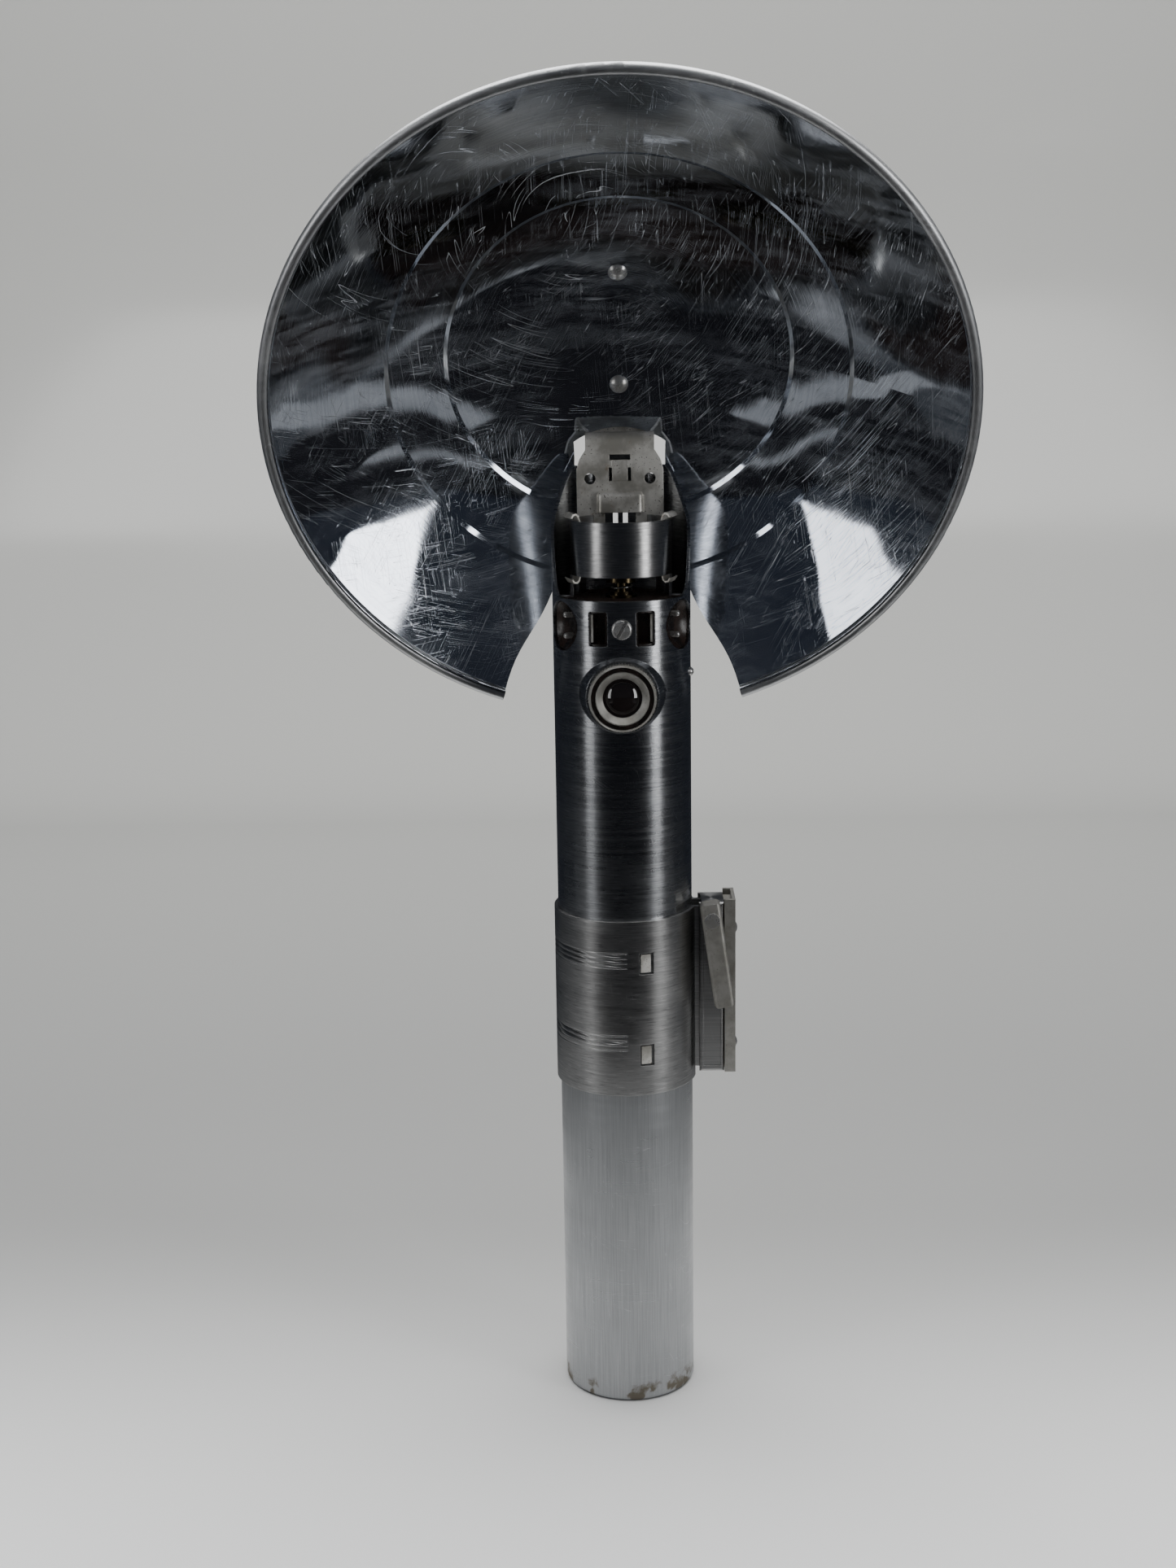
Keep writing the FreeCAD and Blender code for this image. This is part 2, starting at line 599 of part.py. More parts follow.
def clamp_lever():
    """Channel-shaped cam lever, pivoted near its top end."""
    x, z = LEVER_PIVOT
    half, deep, sheet = 2.9, 5.0, 0.9
    front = -BOX_HALF - 0.45 - deep
    top = z + 4.6
    bottom = top - LEVER_LENGTH
    bar = box((x - half, x + half), (front, front + deep), (bottom, top))
    rounded = [e for e in bar.Edges if e.BoundBox.YLength > 1 or
               (e.BoundBox.ZLength > 20 and e.BoundBox.YMax < front + 0.01)]
    bar = bar.makeFillet(1.3, rounded)
    bar = bar.cut(box((x - half + sheet, x + half - sheet), (front + sheet, front + deep + 1),
                      (bottom + sheet, top - sheet)))
    boss = tube(2.3, 1.41, front + sheet - 0.1, front + deep, LEVER_PIVOT, Y)
    bar = bar.fuse(boss)
    return set_lever(bar.cut(cylinder(1.41, front - 1, front + deep + 1, LEVER_PIVOT, Y)))


def lever_pin():
    """Pivot pin: head outside the lever, upset end behind the box."""
    front = -BOX_HALF - 0.45 - 5.0
    pin = cylinder(1.4, front - 0.35, BOX_HALF + 0.9, LEVER_PIVOT, Y)
    pin = pin.fuse(cylinder(2.2, front - 0.75, front - 0.05, LEVER_PIVOT, Y))
    return pin.fuse(cylinder(2.1, BOX_HALF + 0.25, BOX_HALF + 0.9, LEVER_PIVOT, Y))


def lever_cam():
    """Eccentric between the band's ends."""
    x, z = LEVER_PIVOT
    cam = cylinder(1.95, -3.1, 3.1, (x, z - 0.3), Y)
    return set_lever(cam.cut(cylinder(1.41, -4, 4, LEVER_PIVOT, Y)))


# ---- reflector ------------------------------------------------------------------
def to_rest(shape):
    """Moves bowl parts from their own frame (mouth at Z = 0, +Z out of the mouth,
    +Y towards the top) to the drooping rest position."""
    copy = shape.copy()
    copy.rotate(ORIGIN, X, 90 + BOWL_DROOP)
    copy.translate(V(0, BOWL_CENTRE[0], BOWL_CENTRE[1]))
    return copy


def bowl_depth(r):
    return BOWL_DEPTH * (1 - (r / BOWL_R) ** 2)


def bowl_curve(start_r, end_r, sink, extra):
    """One zone of the bowl as a smooth curve; extra moves it along the outward normal."""
    points = []
    steps = 6
    for i in range(steps + 1):
        r = start_r + (end_r - start_r) * i / steps
        slope = 2 * BOWL_DEPTH * r / BOWL_R ** 2
        length = math.hypot(1, slope)
        points.append(V(r + extra * slope / length, 0, -bowl_depth(r) - sink - extra / length))
    curve = Part.BSplineCurve()
    curve.interpolate(Points=points)
    return curve, points[0], points[-1]


ZONES = ((90.5, 62.6, 0.0), (61.6, 47.4, 0.55), (46.4, 0.0, 1.1))


def bowl_side(extra):
    """Edges of one face of the sheet from the rim to the centre."""
    edges, last = [], None
    for start_r, end_r, sink in ZONES:
        curve, start, end = bowl_curve(start_r, end_r, sink, extra)
        if last:
            edges.append(Part.LineSegment(last, start).toShape())
        else:
            first = start
        edges.append(curve.toShape())
        last = end
    return edges, first, last


def notch():
    """Cutter for the bell-shaped slot that straddles the handle."""
    arch = -NOTCH_TOP - 3.6
    knots = [V(NOTCH_HALF, arch, 0), V(NOTCH_HALF, -37.0, 0), V(15.6, -52.0, 0),
             V(19.9, -64.6, 0), V(23.5, -70.0, 0), V(30.2, -78.0, 0),
             V(NOTCH_MOUTH, -87.0, 0), V(NOTCH_MOUTH + 2.5, -98.0, 0)]

    def flank(points):
        curve = Part.BSplineCurve()
        curve.interpolate(Points=points)
        return curve.toShape()

    left = [V(-p.x, p.y, 0) for p in reversed(knots)]
    edges = [Part.Arc(left[-1], V(0, -NOTCH_TOP, 0), knots[0]).toShape(), flank(knots),
             Part.LineSegment(knots[-1], left[0]).toShape(), flank(left)]
    face = Part.Face(Part.Wire(edges))
    face.translate(V(0, 0, -70))
    return face.extrude(V(0, 0, 90))


def reflector_bowl():
    """Spun bowl with two stepped rings, a wired rim and the handle slot."""
    inner, in_first, in_last = bowl_side(0.0)
    outer, out_first, out_last = bowl_side(BOWL_WALL)
    edges = inner + [Part.LineSegment(in_last, out_last).toShape()] + outer
    edges.append(Part.LineSegment(out_first, in_first).toShape())
    face = Part.Face(Part.Wire(Part.__sortEdges__(edges)))
    shell = face.revolve(ORIGIN, Z, 360)
    bead = Part.makeTorus(BOWL_R - 0.1, BEAD_R, V(0, 0, -0.2), Z)
    bowl = shell.fuse(bead).cut(notch())
    for at in RIVET_AT:
        bowl = bowl.cut(at_rivet(cylinder(RIVET_R, -10, 10), at))
    return to_rest(bowl)


def back_of_bowl(y, gap):
    """Height of the bowl's back face at a distance y from the axis."""
    slope = 2 * BOWL_DEPTH * abs(y) / BOWL_R ** 2
    return -bowl_depth(abs(y)) - ZONES[2][2] - (BOWL_WALL + gap) * math.hypot(1, slope)


def bracket_strip():
    """Strip riveted up the back of the bowl, with a rounded top end."""
    half, gap = STRIP_HALF, 0.05
    low, high = STRIP_SPAN
    corner = 5.0
    stations = (low, 0.0, high)
    front = [V(-20, y, back_of_bowl(y, gap)) for y in stations]
    back = [V(-20, y, back_of_bowl(y, gap + STRIP_THICK)) for y in stations]
    section = Part.Wire([Part.Arc(*front).toShape(), Part.LineSegment(front[2], back[2]).toShape(),
                         Part.Arc(back[2], back[1], back[0]).toShape(),
                         Part.LineSegment(back[0], front[0]).toShape()])
    strip = Part.Face(section).extrude(V(40, 0, 0))
    side = [(FOOT_HALF, low - 1), (FOOT_HALF, -25.0), (half, -19.0), (half, high - corner),
            (0.0, high - corner)]
    corners = [V(x, y, -90) for x, y in side + [(-x, y) for x, y in reversed(side[:-1])]]
    plan = Part.Face(Part.makePolygon(corners + corners[:1])).extrude(V(0, 0, 90))
    plan = plan.fuse(box((corner - half, half - corner), (0, high + 1), (-90, 0)))
    for x in (corner - half, half - corner):
        plan = plan.fuse(cylinder(corner, -90, 0, (x, high - corner)))
    return to_rest(strip.common(plan))


def at_rivet(shape, at):
    """Sets a shape made about Z on the bowl's inner face, square to the sheet."""
    copy = shape.copy()
    copy.rotate(ORIGIN, X, math.degrees(math.atan(2 * BOWL_DEPTH * at / BOWL_R ** 2)))
    copy.translate(V(0, at, -bowl_depth(abs(at)) - ZONES[2][2]))
    return copy


def arm_rivets():
    """Round-headed rivets inside the bowl, flat-set behind the strip."""
    reach = BOWL_WALL + 1.25
    shank = cylinder(RIVET_R, -reach - 0.9, 0.4)
    crown = Part.makeSphere(3.4, V(0, 0, -2.0)).common(cylinder(2.6, 0.06, 3))
    tail = cylinder(2.5, -reach - 0.9, -reach - 0.06)
    rivet = shank.fuse(crown).fuse(tail)
    return to_rest(Part.makeCompound([at_rivet(rivet, at) for at in RIVET_AT]))


def bracket_roll():
    """The plate's top, rolled back over the head's wall to the foot of the strip."""
    y0, y1 = PLATE_Y
    thick = y1 - y0
    outer = ROLL_R + thick
    mid_y, mid_z = y0 + outer, ROLL_TOP - outer
    low = STRIP_SPAN[0]
    foot = to_rest(Part.Vertex(0, low, back_of_bowl(low, 0.05) - STRIP_THICK / 2)).Point

    def on(radius, angle):
        return V(0, mid_y - radius * math.cos(angle), mid_z + radius * math.sin(angle))

    crest = math.radians(75)
    stop = math.radians(107)
    above = V(0, foot.y + 0.6, foot.z + 0.5)
    below = V(0, foot.y - 0.3, foot.z - 0.5)
    edges = [Part.Arc(on(outer, 0), on(outer, crest), on(outer, stop)).toShape(),
             Part.LineSegment(on(outer, stop), above).toShape(),
             Part.LineSegment(above, below).toShape(),
             Part.LineSegment(below, on(ROLL_R, stop)).toShape(),
             Part.Arc(on(ROLL_R, stop), on(ROLL_R, crest), on(ROLL_R, 0)).toShape(),
             Part.LineSegment(on(ROLL_R, 0), on(outer, 0)).toShape()]
    face = Part.Face(Part.Wire(edges))
    face.translate(V(-ROLL_HALF, 0, 0))
    roll = face.extrude(V(2 * ROLL_HALF, 0, 0))
    side = [(ROLL_HALF, 0), (ROLL_HALF, 16), (FOOT_HALF, 20), (FOOT_HALF, 30)]
    corners = [V(x, y, 250) for x, y in side + [(-x, y) for x, y in reversed(side)]]
    plan = Part.Face(Part.makePolygon(corners + corners[:1])).extrude(V(0, 0, 50))
    return roll.common(plan)


def bracket_plate():
    """Stamped plate: slides into the head, rolls back at the top, runs up behind the bowl."""
    y0, y1 = PLATE_Y
    low = FLOOR_Z[1] + 4.8
    bend = ROLL_TOP - ROLL_R - (y1 - y0)
    shoulder, neck = 12.1, ROLL_HALF
    right = [(shoulder, low), (shoulder, 267.8), (11.3, 270.6), (neck, 273.2), (neck, bend)]
    points = right + [(-x, z) for x, z in reversed(right)]
    plate = outline(points, Y, y0).extrude(V(0, y1 - y0, 0))
    corners = [e for e in plate.Edges if abs(e.BoundBox.YLength - (y1 - y0)) < 0.01
               and 267 < e.BoundBox.ZMin < 271]
    plate = plate.makeFillet(1.8, corners)
    holes = [cylinder(1.55, y0 - 1, y1 + 1, (side * 8.35, 265.3), Y) for side in (-1, 1)]
    slits = [box((-2.9, 2.9), (y0 - 1, y1 + 1), (270.4, 271.9)),
             box((-3.1, -2.2), (y0 - 1, y1 + 1), (264.6, 268.3)),
             box((2.2, 3.1), (y0 - 1, y1 + 1), (264.6, 268.3)),
             box((-2.2, 2.2), (y0 - 1, y0 + 0.35), (264.6, 270.4)),
             box((-4.3, 4.3), (y0 - 1, y1 + 1), (252.4, 256.6))]
    hood = box((-6.5, 6.5), (y0 - 2.0, y0 + 0.1), (256.0, 261.9))
    rounded = [e for e in hood.Edges if (e.BoundBox.YLength > 0.5 and e.BoundBox.ZMin > 261)
               or (e.BoundBox.YMax < y0 - 1.9 and e.BoundBox.ZLength < 0.1 and e.BoundBox.ZMin > 261)
               or (e.BoundBox.YMax < y0 - 1.9 and e.BoundBox.ZLength > 5)]
    hood = hood.makeFillet(1.6, rounded)
    plate = plate.fuse(hood)
    plate = plate.cut(box((-5.5, 5.5), (y0 - 1.2, y0 + 0.35), (255, 261.0)))
    for cutter in holes + slits:
        plate = plate.cut(cutter)
    whole = plate.fuse(bracket_roll()).fuse(bracket_strip())
    for at in RIVET_AT:
        whole = whole.cut(to_rest(at_rivet(cylinder(RIVET_R, -10, 10), at)))
    return whole


# ---- export -----------------------------------------------------------------------
def all_parts():
    bush, plunger_spring = centre_hardware()
    collar, leaves = button_parts()
    return {
        "battery_case": battery_case(),
        "case_spring": case_spring(),
        "cell_lower": cell(0),
        "cell_middle": cell(1),
        "cell_upper": cell(2),
        "head_tube": head_tube(),
        "coupling_sleeve": coupling_sleeve(),
        "bayonet_lugs": bayonet_lugs(),
        "sleeve_rivets": sleeve_rivets(),
        "contact_disc": contact_disc(),
        "battery_contact": battery_contact(),
        "socket_floor": socket_floor(),
        "socket_band": socket_band(),
        "socket_clips": socket_clips(),
        "contact_bush": bush,
        "plunger_spring": plunger_spring,
        "contact_plunger": contact_plunger(),
        "plate_channel": plate_channel(),
        "outlet_cup_left": outlet_cup(-1),
        "outlet_cup_right": outlet_cup(1),
        "outlet_pins_left": outlet_pins(-1),
        "outlet_pins_right": outlet_pins(1),
        "blade_block": blade_block(),
        "blade_contacts": blade_contacts(),
        "front_screw": front_screw(),
        "eye_flange": eye_flange(),
        "eye_barrel": eye_barrel(),
        "eye_lamp": eye_lamp(),
        "eye_ring": eye_ring(),
        "eye_seat": eye_seat(),
        "eye_bezel": eye_bezel(),
        "eye_lens": eye_lens(),
        "button_collar": collar,
        "switch_leaves": leaves,
        "shutter_button": shutter_button(),
        "side_screw": side_screw(),
        "clamp_band": clamp_band(),
        "band_hooks": band_hooks(),
        "clamp_box": rail_rivets_holes(clamp_box()),
        "clamp_rail": clamp_rail(),
        "rail_rivets": rail_rivets(),
        "clamp_lever": clamp_lever(),
        "lever_pin": lever_pin(),
        "lever_cam": lever_cam(),
        "bracket_plate": bracket_plate(),
        "arm_rivets": arm_rivets(),
        "reflector_bowl": reflector_bowl(),
    }


def main():
    os.makedirs("parts", exist_ok=True)
    for name, shape in all_parts().items():
        solids = shape.Solids
        print("%-18s solids %d valid %s volume %.1f" % (
            name, len(solids), all(s.isValid() and s.isClosed() for s in solids), shape.Volume))
        kept = solids[0] if len(solids) == 1 else Part.makeCompound(solids)
        kept.exportStep("parts/%s.step" % name)


main()
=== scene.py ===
"""Looks and studio for the battery-handle flash gun."""
import json
import math
import bpy
from mathutils import Matrix, Vector


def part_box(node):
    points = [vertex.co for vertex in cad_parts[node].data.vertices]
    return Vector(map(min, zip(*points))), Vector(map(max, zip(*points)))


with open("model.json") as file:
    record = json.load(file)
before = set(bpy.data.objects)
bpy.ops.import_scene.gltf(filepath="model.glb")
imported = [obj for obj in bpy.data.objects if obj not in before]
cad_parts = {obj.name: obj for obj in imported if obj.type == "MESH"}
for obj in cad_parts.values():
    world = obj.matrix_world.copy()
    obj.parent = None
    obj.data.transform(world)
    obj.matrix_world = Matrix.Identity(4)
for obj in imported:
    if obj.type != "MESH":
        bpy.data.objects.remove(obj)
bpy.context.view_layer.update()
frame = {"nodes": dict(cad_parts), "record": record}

# ---- places, in metres ------------------------------------------------------
TUBE_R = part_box("battery_case")[1][0]
BOWL_CENTRE = (0.0, -0.028, 0.2817)
BOWL_DROOP = math.radians(25.6)
BEAD_FROM = 0.0899        # radius where the rolled rim begins
ENGRAVED_Z = (0.1349, 0.1108)   # middles of the clamp band's two groups of lines
ENGRAVED_PITCH = 0.0014
ENGRAVED_COUNT = 4
ENGRAVED_END = 0.0003     # how far round from the front the lines reach


# ---- node building ------------------------------------------------------------
class Paint:
    """A material whose nodes are added one call at a time."""

    def __init__(self, name, colour, rough, metallic=1.0, **fixed):
        self.mat = bpy.data.materials.new(name)
        self.mat.use_nodes = True
        self.tree = self.mat.node_tree
        self.tree.nodes.clear()
        self.out = self.tree.nodes.new("ShaderNodeOutputMaterial")
        self.shader = self.tree.nodes.new("ShaderNodeBsdfPrincipled")
        self.tree.links.new(self.shader.outputs[0], self.out.inputs[0])
        self.shader.inputs["Base Color"].default_value = (*colour, 1)
        self.shader.inputs["Roughness"].default_value = rough
        self.shader.inputs["Metallic"].default_value = metallic
        for socket, value in fixed.items():
            self.shader.inputs[socket.replace("_", " ")].default_value = value
        where = self.node("ShaderNodeTexCoord")
        self.place = where.outputs["Object"]
        self.facing = where.outputs["Normal"]

    def node(self, kind, **settings):
        """A new node with its settings filled in."""
        made = self.tree.nodes.new(kind)
        for key, value in settings.items():
            setattr(made, key, value)
        return made

    def feed(self, socket, value):
        """Links a node's output, or sets a plain value, on a socket."""
        if isinstance(value, bpy.types.NodeSocket):
            self.tree.links.new(value, socket)
        elif isinstance(value, tuple) and len(value) == 3 and socket.type == "RGBA":
            socket.default_value = (*value, 1)
        else:
            socket.default_value = value

    def math(self, operation, *values):
        """A maths node; each value is a number or another node's output."""
        made = self.node("ShaderNodeMath", operation=operation)
        for socket, value in zip(made.inputs, values):
            self.feed(socket, value)
        return made.outputs[0]

    def split(self, vector):
        made = self.node("ShaderNodeSeparateXYZ")
        self.feed(made.inputs[0], vector)
        return made.outputs

    def join(self, x, y, z):
        made = self.node("ShaderNodeCombineXYZ")
        for socket, value in zip(made.inputs, (x, y, z)):
            self.feed(socket, value)
        return made.outputs[0]

    def mapped(self, vector, scale=(1, 1, 1), turn=(0, 0, 0), shift=(0, 0, 0)):
        made = self.node("ShaderNodeMapping")
        self.feed(made.inputs["Vector"], vector)
        made.inputs["Location"].default_value = shift
        made.inputs["Rotation"].default_value = turn
        made.inputs["Scale"].default_value = scale
        return made.outputs[0]

    def noise(self, vector, scale, detail=2.0, rough=0.5):
        made = self.node("ShaderNodeTexNoise")
        self.feed(made.inputs["Vector"], vector)
        made.inputs["Scale"].default_value = scale
        made.inputs["Detail"].default_value = detail
        made.inputs["Roughness"].default_value = rough
        return made.outputs["Fac"]

    def cells(self, vector, scale):
        made = self.node("ShaderNodeTexVoronoi")
        self.feed(made.inputs["Vector"], vector)
        made.inputs["Scale"].default_value = scale
        return made.outputs["Distance"]

    def span(self, value, low, high, to_low=0.0, to_high=1.0):
        """Maps low..high to to_low..to_high, smoothly and clamped."""
        made = self.node("ShaderNodeMapRange", interpolation_type="SMOOTHSTEP")
        for socket, number in zip(made.inputs, (value, low, high, to_low, to_high)):
            self.feed(socket, number)
        return made.outputs[0]

    def mix(self, share, a, b):
        """Colour a where share is 0, b where it is 1."""
        made = self.node("ShaderNodeMix", data_type="RGBA")
        for socket, value in zip((made.inputs[0], made.inputs[6], made.inputs[7]), (share, a, b)):
            self.feed(socket, value)
        return made.outputs[2]

    def bump(self, height, distance, below=None):
        """Normal with this height added over the normal below."""
        made = self.node("ShaderNodeBump")
        made.inputs["Distance"].default_value = distance
        self.feed(made.inputs["Height"], height)
        if below is not None:
            self.feed(made.inputs["Normal"], below)
        return made.outputs[0]

    def soft_edges(self, radius=0.0003):
        """Normal that rounds the sharp edges, so that they catch the light."""
        made = self.node("ShaderNodeBevel", samples=4)
        made.inputs["Radius"].default_value = radius
        return made.outputs[0]

    def round_place(self):
        """Angle (as a length round the handle), radius and height about Z."""
        x, y, z = self.split(self.place)
        angle = self.math("ARCTAN2", x, self.math("MULTIPLY", y, -1.0))
        radius = self.math("SQRT", self.math("ADD", self.math("MULTIPLY", x, x),
                                             self.math("MULTIPLY", y, y)))
        return self.math("MULTIPLY", angle, TUBE_R), radius, z

    def scratches(self, vector, scale, count, width, squeeze=40.0):
        """Fine straight marks that run in several directions."""
        total = None
        for i in range(count):
            turn = (0.7 * i + 0.3, 1.1 * i, 0.9 * i + 0.5)
            streak = self.noise(self.mapped(self.mapped(vector, turn=turn), (squeeze, 1, 1),
                                            shift=(3.1 * i, 1.7 * i, 0)), scale, 1.0)
            line = self.span(self.math("ABSOLUTE", self.math("SUBTRACT", streak, 0.5)),
                             0.0, width, 1.0, 0.0)
            part = self.noise(self.mapped(vector, shift=(i, 2.3 * i, 5.1)), scale * 4, 2.0)
            line = self.math("MULTIPLY", line, self.span(part, 0.52, 0.62))
            total = line if total is None else self.math("MAXIMUM", total, line)
        return total

    def finish(self, colour=None, rough=None, normal=None, tangent=False):
        """Feeds the shader and returns the material."""
        if colour is not None:
            self.feed(self.shader.inputs["Base Color"], colour)
        if rough is not None:
            self.feed(self.shader.inputs["Roughness"], rough)
        if normal is not None:
            self.feed(self.shader.inputs["Normal"], normal)
        if tangent:
            made = self.node("ShaderNodeTangent", direction_type="RADIAL", axis="Z")
            self.feed(self.shader.inputs["Tangent"], made.outputs[0])
        return self.mat


# ---- materials ------------------------------------------------------------------
def case_aluminium():
    """Satin drawn can: fine upright grain, handling marks, grime round the foot."""
    p = Paint("case_aluminium", (0.52, 0.53, 0.54), 0.42, metallic=0.9, Anisotropic=0.35,
              Anisotropic_Rotation=0.25)
    around, _, z = p.round_place()
    grain = p.noise(p.join(around, 0.0, p.math("MULTIPLY", z, 0.018)), 2600, 3.0, 0.6)
    rings = p.noise(p.join(p.math("MULTIPLY", around, 0.03), 0.0, z), 900, 3.0)
    cloud = p.noise(p.place, 38, 4.0, 0.6)
    marks = p.scratches(p.place, 26, 3, 0.005)
    edge = p.math("ADD", z, p.math("MULTIPLY", p.noise(p.place, 260, 4.0, 0.7), 0.012))
    foot = p.math("MULTIPLY", p.span(edge, 0.0085, 0.0125, 1.0, 0.0),
                  p.span(p.noise(p.place, 105, 3.0, 0.65), 0.50, 0.57))
    colour = p.mix(p.span(grain, 0.3, 0.7), (0.35, 0.36, 0.37), (0.44, 0.45, 0.46))
    colour = p.mix(p.span(cloud, 0.42, 0.7, 0.0, 0.25), colour, (0.33, 0.34, 0.35))
    colour = p.mix(p.math("MULTIPLY", marks, 0.35), colour, (0.78, 0.79, 0.80))
    colour = p.mix(foot, colour, (0.20, 0.18, 0.145))
    rough = p.math("ADD", p.span(rings, 0.3, 0.7, 0.28, 0.35), p.span(cloud, 0.35, 0.7, -0.02, 0.06))
    rough = p.math("ADD", rough, p.math("MULTIPLY", foot, 0.3))
    normal = p.bump(grain, 0.000008, p.bump(p.math("MULTIPLY", foot, -1.0), 0.00006))
    return p.finish(colour, rough, normal, tangent=True)


def engraved_lines(p, around, z, colour, height):
    """Two groups of four fine lines that stop short of the band's windows."""
    share = None
    for middle in ENGRAVED_Z:
        lowest = middle - ENGRAVED_COUNT / 2 * ENGRAVED_PITCH
        step = p.math("DIVIDE", p.math("SUBTRACT", z, lowest), ENGRAVED_PITCH)
        inside = p.math("MULTIPLY", p.math("GREATER_THAN", step, 0.0),
                        p.math("LESS_THAN", step, float(ENGRAVED_COUNT)))
        line = p.math("COMPARE", p.math("FRACT", step), 0.5, 0.10)
        group = p.math("MULTIPLY", inside, line)
        share = group if share is None else p.math("ADD", share, group)
    share = p.math("MULTIPLY", share, p.math("LESS_THAN", around, ENGRAVED_END))
    return (p.mix(p.math("MULTIPLY", share, 0.6), colour, (0.80, 0.80, 0.79)),
            p.math("ADD", height, p.math("MULTIPLY", share, -1.5)))


def turned_metal(name, low, high, rough_low, rough_high, line_depth, anisotropic, engraved=False):
    """Plated or bare metal polished round the handle's axis."""
    p = Paint(name, high, rough_low, Anisotropic=anisotropic, Anisotropic_Rotation=0.25)
    around, _, z = p.round_place()
    line = p.noise(p.join(p.math("MULTIPLY", around, 0.012), 0.0, z), 3600, 3.0, 0.65)
    wide = p.noise(p.join(p.math("MULTIPLY", around, 0.03), 0.0, z), 900, 2.0)
    dashes = p.noise(p.join(p.math("MULTIPLY", around, 0.10), 0.4, z), 2400, 2.0, 0.5)
    cloud = p.noise(p.place, 45, 4.0, 0.6)
    marks = p.scratches(p.place, 30, 3, 0.004)
    pits = p.span(p.cells(p.place, 900), 0.0, 0.16, 1.0, 0.0)
    pits = p.math("MULTIPLY", pits, p.span(p.noise(p.place, 90, 3.0), 0.57, 0.68))
    colour = p.mix(p.span(line, 0.3, 0.7), low, high)
    colour = p.mix(p.span(dashes, 0.56, 0.70, 0.0, 0.7), colour, tuple(1.25 * c for c in high))
    colour = p.mix(p.span(dashes, 0.44, 0.30, 0.0, 0.6), colour, tuple(0.6 * c for c in low))
    colour = p.mix(p.math("MULTIPLY", marks, 0.4), colour, (0.80, 0.80, 0.79))
    colour = p.mix(p.math("MULTIPLY", pits, 0.6), colour, (0.16, 0.14, 0.11))
    rough = p.math("ADD", p.span(wide, 0.3, 0.7, rough_low, rough_high),
                   p.span(cloud, 0.35, 0.7, 0.0, 0.09))
    rough = p.math("ADD", rough, p.math("MULTIPLY", marks, 0.12))
    if engraved:
        colour, line = engraved_lines(p, around, z, colour, line)
    return p.finish(colour, rough, p.bump(line, line_depth, p.soft_edges()), tangent=True)


def head_nickel():
    return turned_metal("head_nickel", (0.31, 0.32, 0.335), (0.44, 0.45, 0.465), 0.22, 0.29, 0.000008, 0.7)


def band_nickel():
    return turned_metal("band_nickel", (0.38, 0.38, 0.38), (0.50, 0.50, 0.495), 0.28, 0.34, 0.000008, 0.6,
                        engraved=True)


def satin_nickel():
    """Satin plate on the lever, rail and lens rings, rubbed bright in places."""
    p = Paint("satin_nickel", (0.62, 0.61, 0.58), 0.42, metallic=0.8)
    cloud = p.noise(p.place, 170, 4.0, 0.6)
    grain = p.noise(p.mapped(p.place, (1, 1, 0.05)), 1800, 2.0)
    speck = p.span(p.noise(p.place, 1300, 2.0, 0.6), 0.66, 0.72)
    marks = p.scratches(p.place, 60, 2, 0.006)
    colour = p.mix(p.span(cloud, 0.35, 0.68), (0.50, 0.49, 0.46), (0.32, 0.31, 0.28))
    colour = p.mix(p.math("MULTIPLY", marks, 0.4), colour, (0.86, 0.86, 0.84))
    colour = p.mix(p.math("MULTIPLY", speck, 0.6), colour, (0.20, 0.18, 0.15))
    return p.finish(colour, p.span(cloud, 0.3, 0.7, 0.34, 0.48), p.bump(grain, 0.000006, p.soft_edges()))


def pressed_steel():
    """Bright pressed sheet, dulled and specked with age."""
    p = Paint("pressed_steel", (0.66, 0.65, 0.61), 0.42, metallic=0.62)
    cloud = p.noise(p.place, 110, 4.0, 0.6)
    speck = p.span(p.noise(p.place, 1500, 2.0, 0.6), 0.62, 0.70)
    speck = p.math("MULTIPLY", speck, p.span(cloud, 0.42, 0.58))
    rust = p.math("MULTIPLY", p.span(p.noise(p.place, 240, 5.0, 0.7), 0.60, 0.70), 0.6)
    grain = p.noise(p.mapped(p.place, (1, 1, 0.03)), 2200, 2.0)
    marks = p.scratches(p.place, 40, 2, 0.005)
    colour = p.mix(p.span(cloud, 0.36, 0.64), (0.40, 0.385, 0.345), (0.76, 0.745, 0.70))
    colour = p.mix(speck, colour, (0.15, 0.13, 0.105))
    colour = p.mix(rust, colour, (0.36, 0.27, 0.19))
    colour = p.mix(p.math("MULTIPLY", marks, 0.4), colour, (0.8, 0.8, 0.78))
    rough = p.math("ADD", p.span(cloud, 0.3, 0.7, 0.34, 0.46), p.math("MULTIPLY", speck, 0.2))
    return p.finish(colour, rough, p.bump(p.math("ADD", grain, speck), 0.000006, p.soft_edges()))


def bright_fastener():
    """Plated screws, pins and rivets."""
    p = Paint("bright_fastener", (0.64, 0.635, 0.62), 0.28, metallic=0.9)
    cloud = p.noise(p.place, 300, 4.0, 0.6)
    fine = p.noise(p.place, 3200, 2.0)
    colour = p.mix(p.span(cloud, 0.35, 0.7), (0.74, 0.735, 0.72), (0.56, 0.55, 0.52))
    rough = p.span(cloud, 0.3, 0.7, 0.22, 0.36)
    return p.finish(colour, rough, p.bump(fine, 0.000008, p.soft_edges(0.0002)))


def spring_steel():
    p = Paint("spring_steel", (0.40, 0.40, 0.40), 0.3)
    cloud = p.noise(p.place, 500, 3.0)
    colour = p.mix(p.span(cloud, 0.35, 0.65), (0.34, 0.335, 0.33), (0.48, 0.475, 0.46))
    return p.finish(colour, p.span(cloud, 0.3, 0.7, 0.24, 0.38))


